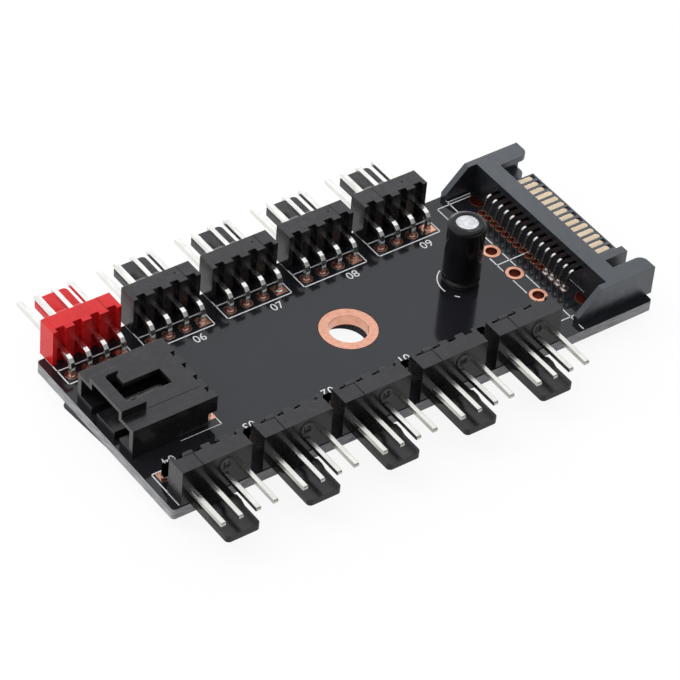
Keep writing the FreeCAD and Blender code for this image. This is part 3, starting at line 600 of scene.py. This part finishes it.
def collars(name, places, tail, hole, finish, climb=0.10):
    """The dish's height falls with the square of the way from the tail to the hole's wall."""
    way = np.linspace(0, 1, 6)
    radius = tail + (hole - 0.005 - tail) * way
    dish = np.column_stack([radius, collar_rim + climb * (1 - way) ** 2])
    foot = [(radius[0], collar_foot), (radius[-1], collar_foot)]
    rings(name, on_board(places), np.vstack([foot, dish[::-1]]), finish, steps=20)


def wetted(name, places, share):
    """Bright collars on about a share of the tails, and stained ones on the rest."""
    lucky = np.random.default_rng(len(name)).random(len(places)) < share
    collars(f"{name}_bright", places[lucky], header_tail, header_collar, solder)
    collars(f"{name}_stained", places[~lucky], header_tail, header_collar, dusky_copper)


wetted("header_collars", tails, share=0.12)
wetted("input_collars", input_tails, share=0.3)
collars("contact_collars_bright", contact_tails[:4], tail=0.2, hole=0.5, finish=solder,
        climb=0.7)
collars("contact_collars_stained", contact_tails[4:], tail=0.2, hole=0.42, finish=black_copper)

# %% [markdown]
# The white print outlines each connector and the capacitor, to show an assembler where it goes.
# Every line runs along the board or across it, so each is one place and two ends, in millimetres.
# Some lines are short because a housing hides the rest, and some are worn or faint.

# %% printed lines
line, worn_line, faint_line = 0.17, 0.1, 0.04


def across(y, begin, end):
    """A line at one y, from one x to another."""
    return (begin, y, end, y)


def along(x, begin, end):
    """A line at one x, from one y to another."""
    return (x, begin, x, end)


rear_box_front, rear_box_back = 25.46, 28.26
front_box_front, front_box_back = 3.6, 6.57
strokes = []
for x in first_pins:
    box_left, box_right = x - 1.22, x + pins[-1] + 1.16
    strokes += [across(rear_box_front, box_left, box_right),
                along(box_left, rear_box_front, board_width - 0.2),
                along(box_right, rear_box_front, rear_box_back),
                across(rear_box_back, box_left, box_right)]
    box_left, box_right = x - 1.3, x + pins[-1] + 1.2
    line_begin = 0.5 if x == first_pins[0] else front_box_front
    strokes += [across(front_box_back, box_left, box_right),
                along(box_left, line_begin, front_box_back),
                along(box_right, front_box_front, front_box_back)]

input_left, input_right, input_front, input_back = 7.6, 13.59, 9.72, 22.7
strokes += [along(input_right, input_front, 10.85), along(input_right, 20.4, input_back)]

plug_line, strip_line = board_length - 11.32, board_length - 13.4
holes_end, strip_back, under_plug = 24.95, 29.28, 67.4
strokes += [along(plug_line, 0.35, 1.5), along(plug_line, 1.9, 7.4),
            along(plug_line, holes_end, 31.0), across(16.08, strip_line, 67.2),
            across(strip_back, strip_line, under_plug), across(29.78, plug_line, under_plug),
            along(strip_line, holes_end, strip_back), across(3.0, 62.1, 64.2)]
clear_of_hole = 1.12
for low_hole, high_hole in zip(spare_ys[:-1], spare_ys[1:]):
    strokes += [along(x, low_hole + clear_of_hole, high_hole - clear_of_hole)
                for x in (plug_line, strip_line)]
bars("printed_lines", strokes, line, ink)
bars("faint_printed_line", [along(board_length - 6.8, 5.9, 8.9)], faint_line, ink)
worn_strokes = [across(y, input_left, input_right) for y in (input_front, input_back)]
bars("worn_printed_lines", worn_strokes, worn_line, ink)


# %% [markdown]
# The capacitor's outline is printed as an arc on its left side. It is the same sweep as a ring, cut
# at two turns, so its two ends are closed by a face each.

# %% printed arc
def printed_arc(name, middle, radius, begin, end, finish=ink, steps=48):
    """Each point is the middle plus radius times the cosine and sine of a turn, in degrees."""
    turn = np.radians(np.linspace(begin, end, steps))
    loop = np.array(band(radius - line / 2, radius + line / 2, 0.0, ink_skin))
    reach, level = (np.broadcast_to(loop[None, :, part], (steps, 4)) for part in (0, 1))
    points = np.stack([reach * np.cos(turn)[:, None], reach * np.sin(turn)[:, None], level], -1)
    points = points + on_board([middle])[0]
    last = (steps - 1) * 4
    ends = np.array([(0, 1, 2, 3), (last + 3, last + 2, last + 1, last)])
    faces = np.vstack([grid_quads(steps, 4)[:, ::-1], ends])
    return make_piece(name, points, faces, finish)


ring_middle, ring_radius = (board_length - 19.03, 15.98), 3.44
printed_arc("printed_arc", ring_middle, ring_radius, begin=116, end=190)
printed_arc("printed_arc_end", ring_middle, ring_radius, begin=214, end=226)

# %% [markdown]
# Beside each of the plug's pegs the rim of a copper pad shows, with a stained floor inside it. The
# rim is the same arc in copper, and the floor is a few bars, each as long as its chord.

# %% rims beside the pegs
pad_rim, pad_floor = 1.37, 1.28
chord_width, floor_skin = 0.22, 0.01
chord_places = np.arange(-1.15, 0.0, chord_width)
widest = abs(chord_places) + chord_width / 2
chord_halves = np.sqrt(pad_floor ** 2 - widest ** 2 + 1e-9)
chords = []
for side, y in (("front", plug_middle - 11.25), ("back", plug_middle + 11.75)):
    rim_x = board_length - 7.3
    printed_arc(f"peg_rim_{side}", (rim_x, y), pad_rim, 95, 265, brown_copper)
    chords += [along(rim_x + place, y - half, y + half)
               for place, half in zip(chord_places, chord_halves)]
bars("peg_floors", chords, chord_width, black_copper, skin=floor_skin)

# %% [markdown]
# The capacitor's printed film is shrunk over the can's shoulder, and rolls into a fat round lip
# there. Its profile is a quarter of a circle and a flat, swept once round the can.

# %% shrunk lip
lip_turn = np.radians(np.linspace(-8, 96, 14))
lip_middle, lip_radius, film_radius = 1.93, 0.62, 1.52
lip_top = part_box("capacitor_sleeve")[1][2] / MM
lip = np.column_stack([lip_middle + lip_radius * np.cos(lip_turn),
                       lip_top - lip_radius + lip_radius * np.sin(lip_turn)])
lip_outline = [(film_radius, lip_top - 0.3), (lip[0, 0] - 0.1, lip_top - 0.75)] + lip.tolist()
lip_outline += [(film_radius, lip_top - 0.04)]
rings("sleeve_lip", on_board([can_middle]), lip_outline, sleeve_film, steps=72)


# %% [markdown]
# Each header has a plain number beside it. Blender's own font is a curve, so each number is made a
# mesh first, then scaled to its height and turned in the array of its points, so that the finished
# piece sits at the origin as every other piece does.

# %% printed numbers
def number_mesh(digits):
    """Points and triangles of a number, one unit high, about its middle."""
    curve = bpy.data.curves.new("number", "FONT")
    curve.body = digits
    curve.extrude = 0.5
    curve.resolution_u = 4
    holder = bpy.data.objects.new("number", curve)
    mesh = bpy.data.meshes.new_from_object(holder)
    mesh.calc_loop_triangles()
    points = np.empty(len(mesh.vertices) * 3)
    mesh.vertices.foreach_get("co", points)
    points = points.reshape(-1, 3)
    triangles = np.empty(len(mesh.loop_triangles) * 3, dtype=int)
    mesh.loop_triangles.foreach_get("vertices", triangles)
    bpy.data.objects.remove(holder)
    bpy.data.meshes.remove(mesh)
    low, high = points.min(axis=0), points.max(axis=0)
    points[:, :2] = (points[:, :2] - (low + high)[:2] / 2) / (high - low)[1]
    return points, triangles.reshape(-1, 3)


def printed_numbers(name, numbers, height, finish, facing=None):
    """Numbers at places on the board, each turned about its middle by a number of degrees.

    With facing, a height over the board and a distance forwards, they stand and face the front.
    """
    all_points, all_faces, count = [], [], 0
    for digits, place, degrees in numbers:
        points, faces = number_mesh(digits)
        cosine, sine = np.cos(np.radians(degrees)), np.sin(np.radians(degrees))
        spun = points[:, :2] @ np.array([(cosine, sine), (-sine, cosine)]) * height
        level = (points[:, 2] + 0.5) * ink_skin
        flat = np.column_stack([spun, level])
        if facing:
            flat = np.column_stack([spun[:, 0], -level - facing[1], spun[:, 1] + facing[0]])
        all_points.append(flat + on_board([place])[0])
        all_faces.append(faces + count)
        count += len(points)
    return make_piece(name, np.vstack(all_points), np.vstack(all_faces), finish)


number_height, beside_rear, beside_front = 1.3, 5.62, 1.95
rear_label_y, front_label_y = 24.3, 7.62
labels = [(f"0{9 - k}", (first_pins[4 - k] + beside_rear, rear_label_y), 0) for k in range(4)]
labels += [(f"0{4 - k}", (first_pins[k] + beside_front, front_label_y), 180) for k in range(4)]
printed_numbers("printed_numbers", labels, number_height, ink)

# %% [markdown]
# Where two halves of a mould meet, and where a pin pushed the part out, moulded plastic keeps thin
# lines and dots, shallow grooves and dents. They are too fine for the solids, so they lie on them
# as thin dark strips and dots, whose dark is painted shade standing for the shade in the grooves.

# %% mould seams
header_top, shroud_top, mark = 5.6, 4.6, 0.012
shroud_split = 12.75
bars("shroud_seam", [across(shroud_split, 4.4, 12.2)], 0.1, groove_shade_black,
     shroud_top, mark)
seam_begin, seam_end = rear_row + 2.6, rear_row + 5.4
rear_splits = first_pins + np.array([6.94, 6.94, 6.94, 6.94, 1.87])
front_splits = first_pins + 1.75
rear_seams = [along(x, seam_begin, seam_end) for x in rear_splits]
bars("rear_header_seams", rear_seams[1:], 0.1, groove_shade_black, header_top, mark)
front_seams = [along(x, 0.2, 2.5) for x in front_splits]
front_seams += [across(2.55, x - 1.45, x) for x in front_splits]
bars("front_header_seams", front_seams, 0.18, groove_shade_black, header_top, mark)
bars("red_header_seam", rear_seams[:1], 0.08, red_groove_shade, header_top, mark)
dot_radius, dot_along, dot_y = 0.16, 6.1, 31.2
dots = on_board([(x + dot_along, dot_y) for x in first_pins[1:]])
rings("gate_marks", dots, band(0.01, dot_radius, header_top, mark), groove_shade_black,
      steps=12, smooth=False)

# %% [markdown]
# On the front housings' outer faces a low round boss carries the number of the mould's cavity, so
# that a bad cavity can be found again. The boss is the same sweep as a pad, tipped to the front.

# %% bosses with cavity numbers
boss_height, boss_radius, boss_edge = 0.12, 1.12, 0.1
boss_along, boss_y, boss_level = 5.1, 0.1, 4.05
eased = np.linspace(0, np.pi / 2, 5)
boss = [(0.01, 0.0), (boss_radius, 0.0)]
boss += [(boss_radius - boss_edge + boss_edge * np.cos(angle),
          boss_height - boss_edge + boss_edge * np.sin(angle)) for angle in eased]
boss += [(0.01, boss_height)]
bosses = np.array([(x + boss_along, boss_y) for x in first_pins])
rings("cavity_bosses", on_board(bosses, boss_level), boss, black_plastic,
      steps=32, to_front=True)
cavities = [(f"1{k + 1}", place, 0) for k, place in enumerate(bosses)]
# The numbers are dark matt: painted shade, standing for the shade in the moulded figures.
printed_numbers("cavity_numbers", cavities, 0.95, groove_shade_black,
                facing=(boss_level, boss_height))


# %% [markdown]
# The foam under the board has a plan with holes for the screw and for the tall solder joints. The
# plan is a few loops of points at even steps, so that the triangles between them come out even.

# %% outlines of the foam
def evenly(corners, spacing):
    """Points along a closed run of corners, at equal steps of about the spacing on each side."""
    corners = np.asarray(corners, float)
    sides = np.roll(corners, -1, axis=0) - corners
    counts = np.maximum(1, np.rint(np.linalg.norm(sides, axis=1) / spacing).astype(int))
    start = np.repeat(corners, counts, axis=0)
    side = np.repeat(sides, counts, axis=0)
    step = np.arange(counts.sum()) - np.repeat(np.cumsum(counts) - counts, counts)
    return start + side * (step / np.repeat(counts, counts))[:, None]


def circle(x, y, radius, steps):
    """Places on a circle, clockwise as a hole's outline runs."""
    turn = -np.arange(steps) * 2 * np.pi / steps
    return np.column_stack([x + radius * np.cos(turn), y + radius * np.sin(turn)])


foam_low, foam_high = (np.array(corner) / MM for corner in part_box("foam_pad"))
corner_cut, end_slant, joint_room, foam_step = 1.0, 1.3, 1.2, 0.9


def rounded_corner(x, y, begin):
    """Places on a quarter circle about (x, y), from the turn begin on."""
    turn = begin + np.linspace(0, np.pi / 2, 7)
    return list(zip(x + corner_cut * np.cos(turn), y + corner_cut * np.sin(turn)))


def joint_hole(places):
    """A rectangle round a row of tails, clockwise, with room on every side."""
    left, front = on_board(places)[:, :2].min(axis=0) - joint_room
    right, back = on_board(places)[:, :2].max(axis=0) + joint_room
    return evenly([(left, front), (left, back), (right, back), (right, front)], foam_step)


left, front, right, back = foam_low[0], foam_low[1], foam_high[0], foam_high[1]
foam_corners = [(left + end_slant, front)]
foam_corners += rounded_corner(right - corner_cut, front + corner_cut, -np.pi / 2)
foam_corners += rounded_corner(right - corner_cut, back - corner_cut, 0.0)
foam_corners += rounded_corner(left + corner_cut, back - corner_cut, np.pi / 2)
foam_outline = evenly(foam_corners, foam_step)
screw_hole = circle(-0.45, 0.5, 3.4, 48)
print("foam outline has", len(foam_outline), "points")


# %% [markdown]
# The foam was cut by hand, so its sides are pulled in a little between the top and bottom edges,
# where the knife dragged on the cells. Cloth simulation suits a swollen cushion, and this sheet is
# flat and firm. So a Delaunay triangulation fills its plan, and its sides are rows of points
# carried down each outline.

# %% foam
def inside(places, loop):
    """Even-odd rule: inside, a line to the right crosses the loop an odd number of times."""
    x, y = places[:, :1], places[:, 1:]
    ax, ay = loop[None, :, 0], loop[None, :, 1]
    bx, by = np.roll(loop[:, 0], -1)[None], np.roll(loop[:, 1], -1)[None]
    spans = (ay > y) != (by > y)
    rise = np.where(by == ay, 1.0, by - ay)
    return (spans & (x < ax + (y - ay) * (bx - ax) / rise)).sum(axis=1) % 2 == 1


def in_sheet(places, outer, holes):
    """Places inside the outer loop and in none of the holes."""
    return inside(places, outer) & ~np.any([inside(places, hole) for hole in holes], axis=0)


def fill_plan(low, high, outer, holes, spacing):
    """Points on the loops and on a grid between them, and the triangles that join them all.

    A triangle's area is half the cross product of two sides. Negative ones are turned over, and
    ones of no area, along a straight side, are left out.
    """
    loops = [outer] + holes
    rim = np.vstack(loops)
    grid_step, rim_room, no_area = spacing * 1.5, spacing * 0.7, 1e-4
    xs, ys = np.meshgrid(*(np.arange(low[axis], high[axis], grid_step) for axis in (0, 1)))
    grid = np.column_stack([xs.ravel(), ys.ravel()])
    near_rim = np.linalg.norm(grid[:, None] - rim[None], axis=2).min(axis=1) < rim_room
    plan = np.vstack([rim, grid[in_sheet(grid, outer, holes) & ~near_rim]])
    begins = np.cumsum([0] + [len(loop) for loop in loops])
    edges = [(begin + i, begin + (i + 1) % len(loop))
             for begin, loop in zip(begins, loops) for i in range(len(loop))]
    found = delaunay_2d_cdt([tuple(point) for point in plan], edges, [], 0, 1e-5)
    plan, triangles = np.array([tuple(point) for point in found[0]]), np.array(found[2])
    triangles = triangles[in_sheet(plan[triangles].mean(axis=1), outer, holes)]
    a, b, c = (plan[triangles[:, i]] for i in range(3))
    area = ((b - a)[:, 0] * (c - a)[:, 1] - (b - a)[:, 1] * (c - a)[:, 0]) / 2
    triangles[area < 0] = triangles[area < 0][:, ::-1]
    return plan, triangles[abs(area) > no_area]


def foam_sheet(name, node, outer, holes, spacing=1.2, rows=7, pull=0.16):
    """A sheet between two levels, whose sides move in by pull times the sine of the way down."""
    low, high = (np.array(corner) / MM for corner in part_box(node))
    plan, triangles = fill_plan(low, high, outer, holes, spacing)
    points = [np.column_stack([plan, np.full(len(plan), level)]) for level in (high[2], low[2])]
    faces = [triangles, triangles[:, ::-1] + len(plan)]
    count = 2 * len(plan)
    down = np.linspace(0, 1, rows)
    for loop in [outer] + holes:
        ahead = np.roll(loop, -1, axis=0) - np.roll(loop, 1, axis=0)
        ahead /= np.linalg.norm(ahead, axis=1, keepdims=True)
        out = np.column_stack([ahead[:, 1], -ahead[:, 0]])
        walls = loop[None] - out[None] * pull * np.sin(np.pi * down)[:, None, None]
        levels = (high[2] + (low[2] - high[2]) * down)[:, None, None]
        levels = np.broadcast_to(levels, walls.shape[:2] + (1,))
        points.append(np.concatenate([walls, levels], axis=2).reshape(-1, 3))
        quads = grid_quads(rows, len(loop)) + count
        faces += [quads[:, [0, 3, 2]], quads[:, [0, 2, 1]]]
        count += rows * len(loop)
    piece = make_piece(name, np.vstack(points), np.vstack(faces), foam)
    merged = bmesh.new()
    merged.from_mesh(piece.data)
    bmesh.ops.remove_doubles(merged, verts=merged.verts, dist=1e-7)
    merged.to_mesh(piece.data)
    merged.free()
    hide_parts(node)
    print(name, "triangles", len(piece.data.polygons))


foam_sheet("foam_sheet", "foam_pad", foam_outline,
           [screw_hole, joint_hole(input_tails), joint_hole(lead_tails)])


# %% [markdown]
# The floor is a broad white sheet at the height of the foam's underside. The camera sees most of it
# as plain white, with a faint share of its true shade, so that the object's shadow stays. Gloss
# sees it white too behind the object and to its right, and greyer in front of it, a painted shadow
# of the object: that is what makes the faces turned to the camera read as black.

# %% floor
def studio_floor():
    """A large square just under the foam: true shade for the lamps, mostly white for the camera,
    and a painted shadow in front for gloss.
    """
    half, below_foam = 1500.0, 0.01
    paint, painted_shadow_grey, glow_share = 0.92, 0.6, 0.9
    front_end, back_begin, right_end, right_begin = -0.019, -0.008, 0.028, 0.037
    level = cad_box[0][2] / MM - below_foam
    mesh = bpy.data.meshes.new("studio_floor")
    corners = [(-half, -half, level), (half, -half, level), (half, half, level),
               (-half, half, level)]
    mesh.from_pydata((np.array(corners) * MM).tolist(), [], [(0, 1, 2, 3)])
    floor = bpy.data.objects.new("studio_floor", mesh)
    bpy.context.scene.collection.objects.link(floor)
    material = bpy.data.materials.new("floor_white")
    material.use_nodes = True
    shader = shader_of(material)
    set_inputs(material, shader, {"Base Color": (paint, paint, paint, 1), "Roughness": 0.9})
    # Gloss sees a painted shadow: grey in front of the object, white behind it and to its right.
    behind = add_node(material, "MapRange", {
        "Value": coordinate(material, "Y"), "From Min": front_end, "From Max": back_begin,
        "To Min": painted_shadow_grey, "To Max": 1.0}, interpolation_type="SMOOTHSTEP")
    beside = add_node(material, "MapRange", {
        "Value": coordinate(material, "X"), "From Min": right_end, "From Max": right_begin},
        interpolation_type="SMOOTHSTEP")
    gloss_floor_with_painted_shadow = add_node(material, "Math", {0: behind.outputs["Result"],
                                             1: beside.outputs["Result"]}, operation="MAXIMUM")
    rays = add_node(material, "LightPath")
    strength = add_node(material, "Mix", {"Factor": rays.outputs["Is Camera Ray"],
                                          "A": gloss_floor_with_painted_shadow.outputs["Value"], "B": 1.0})
    glow = add_node(material, "Emission", {"Strength": strength.outputs["Result"]})
    seen = add_node(material, "Math", {0: rays.outputs["Is Camera Ray"],
                                       1: rays.outputs["Is Glossy Ray"]}, operation="MAXIMUM")
    share = add_node(material, "Math", {0: seen.outputs["Value"], 1: glow_share},
                     operation="MULTIPLY")
    both = add_node(material, "MixShader", {"Fac": share.outputs["Value"],
                                            1: shader.outputs["BSDF"],
                                            2: glow.outputs["Emission"]})
    set_inputs(material, material.node_tree.nodes["Material Output"],
               {"Surface": both.outputs["Shader"]})
    mesh.materials.append(material)
    print("floor at", level)


studio_floor()


# %% [markdown]
# The world is a light tent: white above, behind and to the left, and dark low down in front on the
# right. Black gloss needs that, because its grey is nothing but white, reflected, and its faces
# read apart only where they mirror different parts of the tent. The camera itself sees plain white.

# %% world
def studio_world(bright, dark):
    """Brightness follows how far a direction points to the back, the left and the top."""
    tent_top, dark_end, white_begin = (-0.15, 0.75, 0.64), -0.35, 0.25
    world = bpy.data.worlds.new("studio")
    bpy.context.scene.world = world
    world.use_nodes = True
    place = add_node(world, "TexCoord")
    toward = add_node(world, "VectorMath", {0: place.outputs["Generated"], 1: tent_top},
                      operation="DOT_PRODUCT")
    tent = add_node(world, "MapRange", {
        "Value": toward.outputs["Value"], "From Min": dark_end, "From Max": white_begin,
        "To Min": dark, "To Max": bright}, interpolation_type="SMOOTHSTEP")
    rays = add_node(world, "LightPath")
    strength = add_node(world, "Mix", {"Factor": rays.outputs["Is Camera Ray"],
                                       "A": tent.outputs["Result"], "B": 1.0})
    set_inputs(world, world.node_tree.nodes["Background"], {
        "Color": (0.975, 0.985, 1.02, 1), "Strength": strength.outputs["Result"]})
    print("world from", dark, "to", bright)


studio_world(bright=1.08, dark=0.12)


# %% [markdown]
# Two soft lamps stand behind the object. The key lamp, on the left, shapes the round pieces, and
# gloss doesn't mirror it, because in the photograph the slopes that face it stay dark. The rim
# lamp, low on the right, draws a bright line along the capacitor and the plug.

# %% lamps
def softbox(name, place, size, power, mirrored=True):
    """A square lamp at a place in metres, turned to the origin, which gloss mirrors or doesn't."""
    lamp = bpy.data.lights.new(name, "AREA")
    lamp.size = size
    lamp.energy = power
    holder = bpy.data.objects.new(name, lamp)
    bpy.context.scene.collection.objects.link(holder)
    back = np.array(place, float)
    back /= np.linalg.norm(back)
    side = np.cross([0, 0, 1], back)
    side /= np.linalg.norm(side)
    up = np.cross(back, side)
    turn = Matrix(np.column_stack([side, up, back]).tolist()).to_4x4()
    holder.matrix_world = Matrix.Translation(place) @ turn
    holder.visible_glossy = mirrored
    print(name, power, "W")


softbox("key_softbox", (-0.5, 0.45, 0.7), size=0.4, power=2.5, mirrored=False)
softbox("rim_softbox", (0.40, 0.68, 0.26), size=0.3, power=1.2)


# %% [markdown]
# The camera stands where the photograph's did. A pinhole camera was fitted to points measured on
# the photograph, and these are its angles, in degrees, its distance in millimetres and its focal
# length in pixels.

# %% camera
def photo_camera():
    """Back is the way from the target to the camera. Side and up turn about it by the roll."""
    azimuth, elevation, roll = np.radians([-39.103, 41.836, 5.501])
    target = np.array([-2.1885, -1.1976, 0.0])
    distance, focal_pixels, image_width, sensor_width = 455.93, 3568.357, 680, 36.0
    back = np.array([np.sin(azimuth) * np.cos(elevation), -np.cos(azimuth) * np.cos(elevation),
                     np.sin(elevation)])
    side = np.array([np.cos(azimuth), np.sin(azimuth), 0.0])
    up = np.cross(back, side)
    rolled_side = np.cos(roll) * side + np.sin(roll) * up
    rolled_up = -np.sin(roll) * side + np.cos(roll) * up
    place = (target + back * distance) * MM
    data = bpy.data.cameras.new("photo_camera")
    data.sensor_width = sensor_width
    data.lens = focal_pixels / image_width * sensor_width
    data.clip_start = 0.01
    data.clip_end = 10.0
    camera = bpy.data.objects.new("photo_camera", data)
    bpy.context.scene.collection.objects.link(camera)
    turn = Matrix(np.column_stack([rolled_side, rolled_up, back]).tolist()).to_4x4()
    camera.matrix_world = Matrix.Translation(place.tolist()) @ turn
    bpy.context.scene.camera = camera
    print("camera at", camera.location, "lens", data.lens)


photo_camera()
bpy.context.scene.view_settings.view_transform = "Standard"
